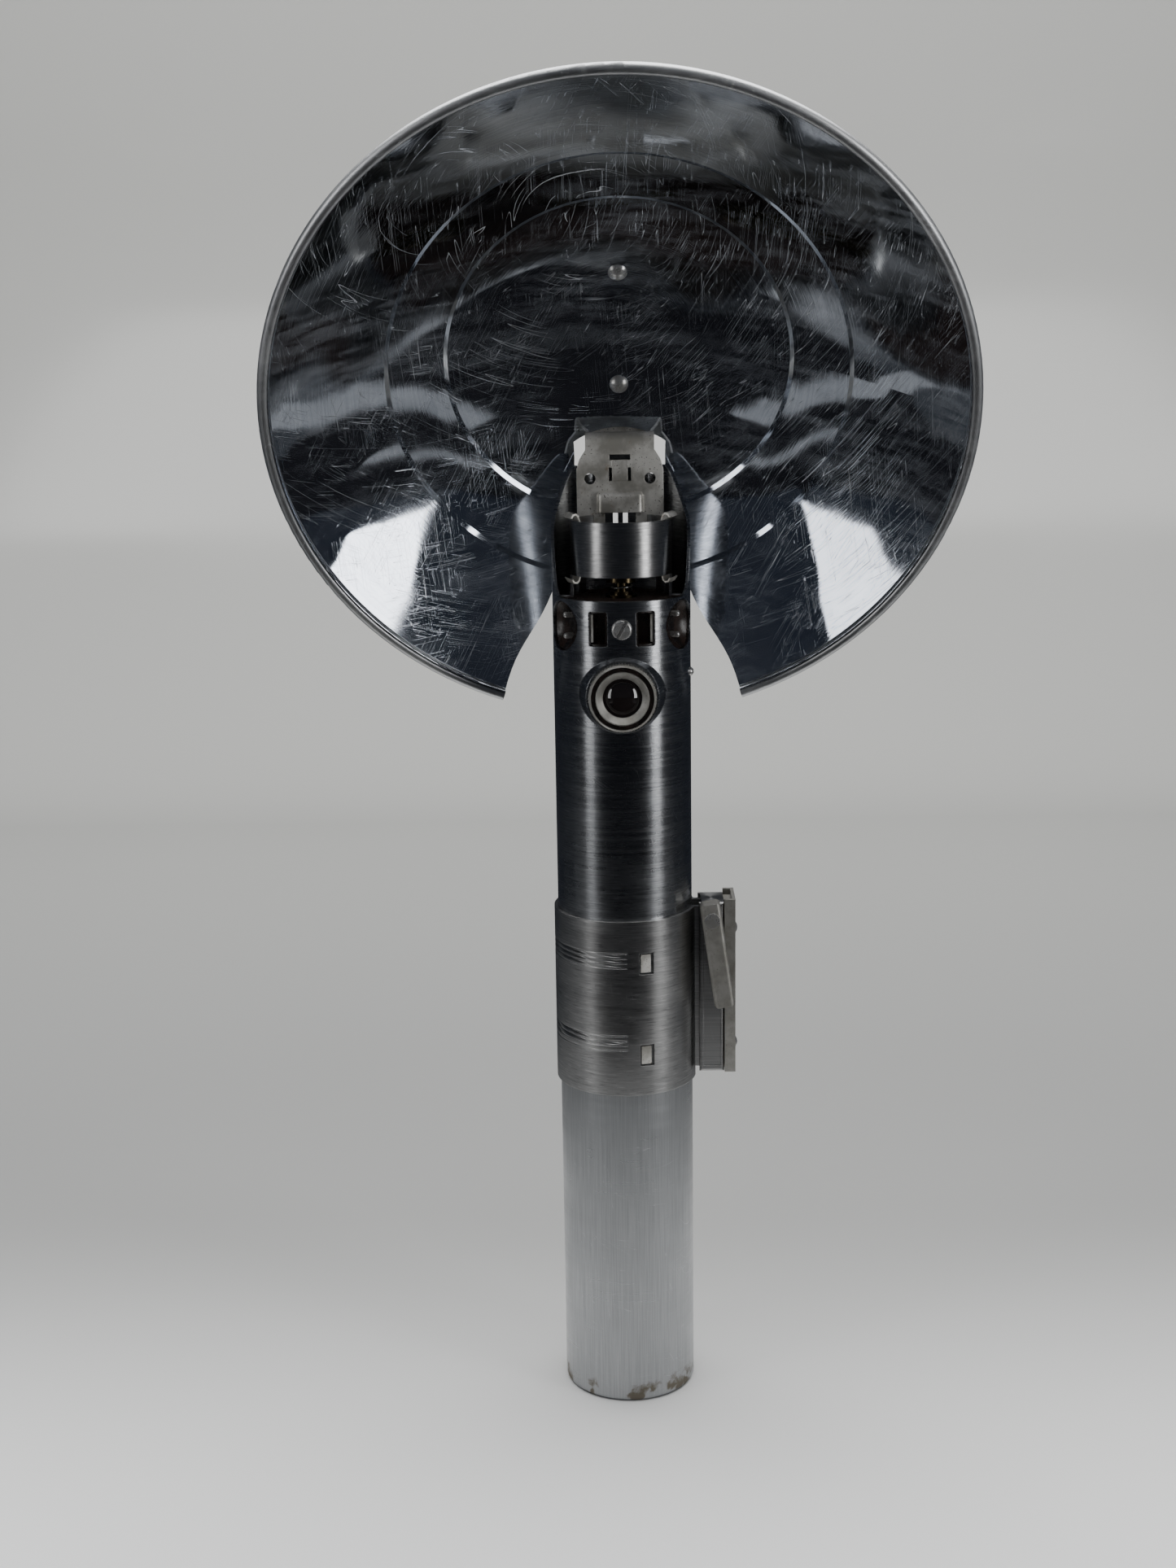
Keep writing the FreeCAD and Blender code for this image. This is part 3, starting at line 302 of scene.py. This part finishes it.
def bakelite():
    """Moulded phenolic with a faint swirl."""
    p = Paint("bakelite", (0.03, 0.02, 0.017), 0.24, metallic=0.0)
    swirl = p.noise(p.mapped(p.place, (1, 1, 0.4)), 260, 4.0, 0.6)
    dust = p.span(p.noise(p.place, 900, 3.0), 0.55, 0.75)
    colour = p.mix(p.span(swirl, 0.4, 0.65), (0.010, 0.008, 0.007), (0.022, 0.013, 0.010))
    colour = p.mix(p.math("MULTIPLY", dust, 0.2), colour, (0.07, 0.06, 0.052))
    rough = p.math("ADD", p.span(swirl, 0.3, 0.7, 0.2, 0.3), p.math("MULTIPLY", dust, 0.15))
    return p.finish(colour, rough, p.bump(swirl, 0.00001))


def fibre_board():
    """Vulcanised fibre with short matted fibres."""
    p = Paint("fibre_board", (0.10, 0.04, 0.025), 0.55, metallic=0.0)
    matted = p.noise(p.mapped(p.place, (3, 1, 1), turn=(0, 0, 0.6)), 900, 4.0, 0.7)
    colour = p.mix(p.span(matted, 0.35, 0.65), (0.016, 0.009, 0.007), (0.045, 0.023, 0.016))
    return p.finish(colour, p.span(matted, 0.3, 0.7, 0.45, 0.65), p.bump(matted, 0.00003))


def contact_brass():
    """Tarnished brass, brighter on the rubbed high spots."""
    p = Paint("contact_brass", (0.62, 0.47, 0.22), 0.25)
    cloud = p.noise(p.place, 160, 5.0, 0.65)
    fine = p.noise(p.mapped(p.place, (1, 1, 30)), 160, 2.0)
    colour = p.mix(p.span(cloud, 0.42, 0.66), (0.09, 0.07, 0.04), (0.035, 0.027, 0.018))
    rough = p.span(cloud, 0.35, 0.7, 0.2, 0.42)
    return p.finish(colour, rough, p.bump(fine, 0.00001))


def lens_glass():
    """Deep-tinted lens, dusty in patches."""
    p = Paint("lens_glass", (0.008, 0.006, 0.006), 0.04, metallic=0.0, Transmission_Weight=0.05,
              Coat_Weight=1.0, Coat_Roughness=0.02, IOR=1.6)
    dust = p.span(p.noise(p.place, 1400, 3.0, 0.6), 0.6, 0.75)
    colour = p.mix(p.math("MULTIPLY", dust, 0.3), (0.007, 0.005, 0.005), (0.08, 0.07, 0.06))
    return p.finish(colour, p.math("MULTIPLY", dust, 0.2))


def lamp_glass():
    p = Paint("lamp_glass", (0.8, 0.8, 0.78), 0.05, metallic=0.0, Transmission_Weight=0.8)
    film = p.noise(p.place, 500, 3.0)
    return p.finish(p.mix(p.span(film, 0.4, 0.7), (0.85, 0.85, 0.83), (0.6, 0.6, 0.57)),
                    p.span(film, 0.4, 0.7, 0.03, 0.12))


def red_button():
    p = Paint("red_button", (0.42, 0.02, 0.02), 0.28, metallic=0.0, Coat_Weight=0.3)
    cloud = p.noise(p.place, 220, 4.0, 0.6)
    worn = p.span(p.noise(p.place, 700, 4.0, 0.7), 0.58, 0.72)
    colour = p.mix(p.span(cloud, 0.35, 0.7), (0.36, 0.014, 0.014), (0.47, 0.03, 0.026))
    colour = p.mix(p.math("MULTIPLY", worn, 0.5), colour, (0.20, 0.02, 0.018))
    return p.finish(colour, p.span(cloud, 0.3, 0.7, 0.22, 0.38), p.bump(worn, -0.00003))


def cell_jacket():
    """Painted steel jacket with a light wavy print of bands, no lettering."""
    p = Paint("cell_jacket", (0.16, 0.17, 0.18), 0.35, metallic=0.3)
    cloud = p.noise(p.place, 60, 3.0)
    _, _, z = p.round_place()
    band = p.span(p.math("SINE", p.math("MULTIPLY", z, 102.0)), 0.6, 0.7)
    colour = p.mix(band, (0.13, 0.14, 0.15), (0.34, 0.33, 0.30))
    colour = p.mix(p.span(cloud, 0.4, 0.7, 0.0, 0.3), colour, (0.08, 0.08, 0.08))
    return p.finish(colour, p.span(cloud, 0.3, 0.7, 0.3, 0.45))


def bowl_place(p):
    """Place in the bowl's own frame: mouth at z = 0, open towards +z."""
    moved = p.node("ShaderNodeVectorMath", operation="SUBTRACT")
    p.feed(moved.inputs[0], p.place)
    moved.inputs[1].default_value = BOWL_CENTRE
    return p.mapped(moved.outputs[0], turn=(-math.pi / 2 - BOWL_DROOP, 0, 0))


def reflector_mirror():
    """Spun and buffed bowl: wavy mirror inside, hazed and scratched; satin rim and back."""
    p = Paint("reflector_mirror", (0.72, 0.73, 0.74), 0.07)
    own = bowl_place(p)
    x, y, _ = p.split(own)
    square = p.math("ADD", p.math("MULTIPLY", x, x), p.math("MULTIPLY", y, y))
    radius = p.math("SQRT", square)
    angle = p.math("ARCTAN2", x, y)
    _, out_y, out_z = p.split(p.facing)
    towards_mouth = p.math("ADD", p.math("MULTIPLY", out_y, -math.cos(BOWL_DROOP)),
                           p.math("MULTIPLY", out_z, -math.sin(BOWL_DROOP)))
    behind = p.math("LESS_THAN", towards_mouth, 0.0)
    bead = p.span(radius, BEAD_FROM, BEAD_FROM + 0.0005)
    dull = p.math("MAXIMUM", behind, bead)
    spin = p.noise(p.join(radius, p.math("MULTIPLY", angle, 0.0008), 0.0), 2600, 3.0, 0.6)
    wide_spin = p.noise(p.join(radius, p.math("MULTIPLY", angle, 0.003), 0.0), 420, 2.0)
    haze = p.noise(p.mapped(own, shift=(0.3, 0.1, 0)), 22, 5.0, 0.62)
    wipe = p.noise(p.mapped(own, (1, 9, 1), turn=(0, 0, 0.5)), 14, 4.0, 0.6)
    marks = p.math("MAXIMUM", p.scratches(own, 8, 4, 0.0022, 70.0),
                   p.scratches(p.mapped(own, shift=(0.4, 0.9, 0.2)), 22, 4, 0.0030, 60.0))
    fine_haze = p.noise(p.mapped(own, (1, 6, 1), turn=(0, 0, 1.9)), 90, 4.0, 0.7)
    speck = p.span(p.cells(own, 520), 0.0, 0.09, 1.0, 0.0)
    speck = p.math("MULTIPLY", speck, p.span(p.noise(own, 60, 3.0), 0.5, 0.62))
    swell = p.noise(own, 17, 1.2, 0.4)
    ripple = p.noise(p.mapped(own, shift=(0.7, 0.2, 0.4)), 48, 1.0)
    inside = p.mix(p.span(spin, 0.3, 0.7), (0.56, 0.60, 0.67), (0.68, 0.72, 0.79))
    inside = p.mix(p.math("MULTIPLY", marks, 0.3), inside, (0.93, 0.93, 0.93))
    inside = p.mix(p.math("MULTIPLY", speck, 0.7), inside, (0.20, 0.19, 0.17))
    satin = p.mix(p.span(wide_spin, 0.3, 0.7), (0.66, 0.67, 0.68), (0.76, 0.77, 0.78))
    colour = p.mix(dull, inside, satin)
    glow = p.math("MULTIPLY", p.span(haze, 0.35, 0.65), p.span(p.math("ADD", wipe, fine_haze), 0.85, 1.25))
    clear = p.math("SUBTRACT", 0.998, p.math("MULTIPLY", glow, 0.09))
    p.feed(p.shader.inputs["Metallic"], p.math("SUBTRACT", clear, p.math("MULTIPLY", marks, 0.30)))
    polish = p.math("ADD", p.span(haze, 0.35, 0.72, 0.012, 0.09), p.span(wipe, 0.5, 0.75, 0.0, 0.05))
    polish = p.math("ADD", polish, p.math("MULTIPLY", marks, 0.2))
    rough = p.mix(dull, polish, p.span(wide_spin, 0.3, 0.7, 0.38, 0.46))
    swell = p.math("MULTIPLY", swell, p.math("SUBTRACT", 1.0, p.math("MULTIPLY", dull, 0.85)))
    normal = p.bump(swell, 0.0023, p.bump(ripple, 0.00012))
    normal = p.bump(p.math("MULTIPLY", marks, -1.0), 0.00001, normal)
    normal = p.bump(spin, 0.000004, normal)
    return p.finish(colour, rough, normal)


FINISHES = {make.__name__: make for make in (
    case_aluminium, head_nickel, band_nickel, satin_nickel, pressed_steel, bright_fastener, spring_steel,
    bakelite, fibre_board, contact_brass, lens_glass, lamp_glass, red_button, cell_jacket,
    reflector_mirror)}


def dress_nodes():
    """Gives every CAD node the material of its slot."""
    made = {name: make() for name, make in FINISHES.items()}
    for part in frame["record"]["subparts"]:
        obj = frame["nodes"][part["node"]]
        finish = made[part["material_slot"]]
        if not obj.material_slots:
            obj.data.materials.append(finish)
        for slot in obj.material_slots:
            slot.material = finish
    return made


# ---- studio ------------------------------------------------------------------------
def sheet(name, x0, x1, y0, y1, z):
    """Level card that only reflections see; returns its paint."""
    mesh = bpy.data.meshes.new(name)
    mesh.from_pydata([(x0, y0, z), (x1, y0, z), (x1, y1, z), (x0, y1, z)], [], [(0, 1, 2, 3)])
    obj = bpy.data.objects.new(name, mesh)
    bpy.context.scene.collection.objects.link(obj)
    p = Paint(name + "_paint", (0.5, 0.5, 0.5), 0.8, metallic=0.0, Specular_IOR_Level=0.0)
    obj.data.materials.append(p.mat)
    obj.visible_camera = False
    obj.visible_diffuse = False
    obj.visible_shadow = False
    obj.visible_transmission = False
    return p


def sweep():
    """Pale floor curving up into a backdrop, with painted light and shade in its tone: brighter in front
    of the object, darker from under it backwards, mid tone up the backdrop; its far parts glow a little so
    no side falls dark.
    """
    back, bend, tall, wide, near = 1.15, 0.45, 2.4, 3.0, -3.0
    steps = 20
    line = [(near, 0.0), (back - bend, 0.0)]
    for i in range(1, steps):
        a = math.pi / 2 * i / steps
        line.append((back - bend + bend * math.sin(a), bend - bend * math.cos(a)))
    line += [(back, bend), (back, tall)]
    verts = [(x, y, z) for y, z in line for x in (-wide, wide)]
    faces = [(2 * i, 2 * i + 1, 2 * i + 3, 2 * i + 2) for i in range(len(line) - 1)]
    mesh = bpy.data.meshes.new("sweep")
    mesh.from_pydata(verts, [], faces)
    for face in mesh.polygons:
        face.use_smooth = True
    obj = bpy.data.objects.new("sweep", mesh)
    bpy.context.scene.collection.objects.link(obj)
    p = Paint("sweep_paint", (0.62, 0.62, 0.61), 0.16, metallic=0.0, Specular_IOR_Level=0.5)
    x, y, _ = p.split(p.place)
    away = p.math("MAXIMUM", p.span(y, -0.45, -1.8), p.span(p.math("ABSOLUTE", x), 0.85, 2.4))
    p.shader.inputs["Emission Color"].default_value = (0.50, 0.50, 0.49, 1)
    p.feed(p.shader.inputs["Emission Strength"], p.math("MULTIPLY", away, 0.8))
    # painted light and shade: the floor is painted bright in front of the object, painted shade from under
    # it to behind it, then a mid tone on the backdrop
    tone = p.mix(p.span(y, -0.13, 0.12), (0.95, 0.955, 0.95), (0.37, 0.371, 0.366))
    tone = p.mix(p.span(y, 0.12, 0.80), tone, (0.575, 0.576, 0.556))
    obj.data.materials.append(p.finish(tone, p.span(p.noise(p.place, 6.0, 2.0), 0.3, 0.7, 0.14, 0.2)))
    obj.visible_glossy = False


def reflected_room():
    """What the polished metal sees: a pale table round the foot and the dark of the open front."""
    low, high = 0.0006, 0.088
    p = sheet("table_card", -0.6, 0.6, -0.6, 0.3, low)
    x, y, _ = p.split(p.place)
    far = p.math("SQRT", p.math("ADD", p.math("MULTIPLY", x, x), p.math("MULTIPLY", y, y)))
    p.finish(p.mix(p.span(far, 0.06, 0.32), (0.60, 0.60, 0.595), (0.03, 0.032, 0.035)))
    p = sheet("dark_card", -0.5, 0.5, -1.5, -0.045, high)
    p.finish(p.mix(p.noise(p.place, 3.0), (0.005, 0.005, 0.006), (0.008, 0.008, 0.009)))
    for side in (-1, 1):
        for x, y, reach in ((0.20, -0.10, 0.035), (0.30, -0.26, 0.022)):
            near, far = sorted((side * x, side * (x + reach)))
            p = sheet("strip_%d_%d" % (side + 1, 1000 * reach), near, far,
                      y - 0.16, y + 0.10, high + 0.002)
            p.finish(p.mix(p.noise(p.place, 9.0), (0.10, 0.105, 0.11), (0.24, 0.24, 0.24)))


def soft_light(name, place, aim, size, power):
    data = bpy.data.lights.new(name, "AREA")
    data.shape = "RECTANGLE"
    data.size, data.size_y = size
    data.energy = power
    obj = bpy.data.objects.new(name, data)
    obj.location = place
    obj.rotation_mode = "QUATERNION"
    obj.rotation_quaternion = (Vector(aim) - Vector(place)).to_track_quat("-Z", "Y")
    bpy.context.scene.collection.objects.link(obj)
    return obj


def lights():
    """Two tall panels either side of the camera, a broad one overhead and a fill for the floor."""
    aim = (0, 0, 0.20)
    soft_light("left_panel", (-0.70, -0.46, 0.34), aim, (0.20, 0.52), 0.95)
    soft_light("right_panel", (0.70, -0.46, 0.34), aim, (0.21, 0.52), 1.8)
    fill = soft_light("front_fill", (0.0, -1.5, 1.7), (0, -0.4, 0.1), (2.0, 1.4), 11.0)
    fill.visible_glossy = False
    soft_light("top_panel", (0.0, 0.15, 1.30), (0, 0.0, 0), (1.7, 1.3), 29.0)


def surroundings():
    """Dim room in reflections and fill; a plain pale tone where the camera sees past the sweep."""
    world = bpy.data.worlds.new("room")
    world.use_nodes = True
    tree = world.node_tree
    tree.nodes.clear()
    out = tree.nodes.new("ShaderNodeOutputWorld")
    dim = tree.nodes.new("ShaderNodeBackground")
    dim.inputs["Color"].default_value = (0.022, 0.025, 0.032, 1)
    pale = tree.nodes.new("ShaderNodeBackground")
    pale.inputs["Color"].default_value = (0.50, 0.50, 0.49, 1)
    pick = tree.nodes.new("ShaderNodeMixShader")
    path = tree.nodes.new("ShaderNodeLightPath")
    tree.links.new(path.outputs["Is Camera Ray"], pick.inputs[0])
    tree.links.new(dim.outputs[0], pick.inputs[1])
    tree.links.new(pale.outputs[0], pick.inputs[2])
    tree.links.new(pick.outputs[0], out.inputs[0])
    bpy.context.scene.world = world


def camera():
    """Eye level with the bowl, half a metre away, tipped down a little."""
    stand = Vector((0.0, -0.557, 0.3058))
    tip, swing, roll = (math.radians(a) for a in (12.64, -1.03, -0.90))
    right = Vector((math.cos(swing), -math.sin(swing), 0))
    level = Vector((math.sin(swing), math.cos(swing), 0))
    ahead = level * math.cos(tip) - Vector((0, 0, math.sin(tip)))
    up = level * math.sin(tip) + Vector((0, 0, math.cos(tip)))
    leaned_right = right * math.cos(roll) + up * math.sin(roll)
    leaned_up = up * math.cos(roll) - right * math.sin(roll)
    data = bpy.data.cameras.new("camera")
    data.lens = 46.5
    data.sensor_width = 36.0
    data.clip_start = 0.01
    obj = bpy.data.objects.new("camera", data)
    turn = Matrix((leaned_right, leaned_up, -ahead)).transposed().to_4x4()
    obj.matrix_world = Matrix.Translation(stand) @ turn
    bpy.context.scene.collection.objects.link(obj)
    bpy.context.scene.camera = obj


camera()
dress_nodes()
sweep()
reflected_room()
lights()
surroundings()
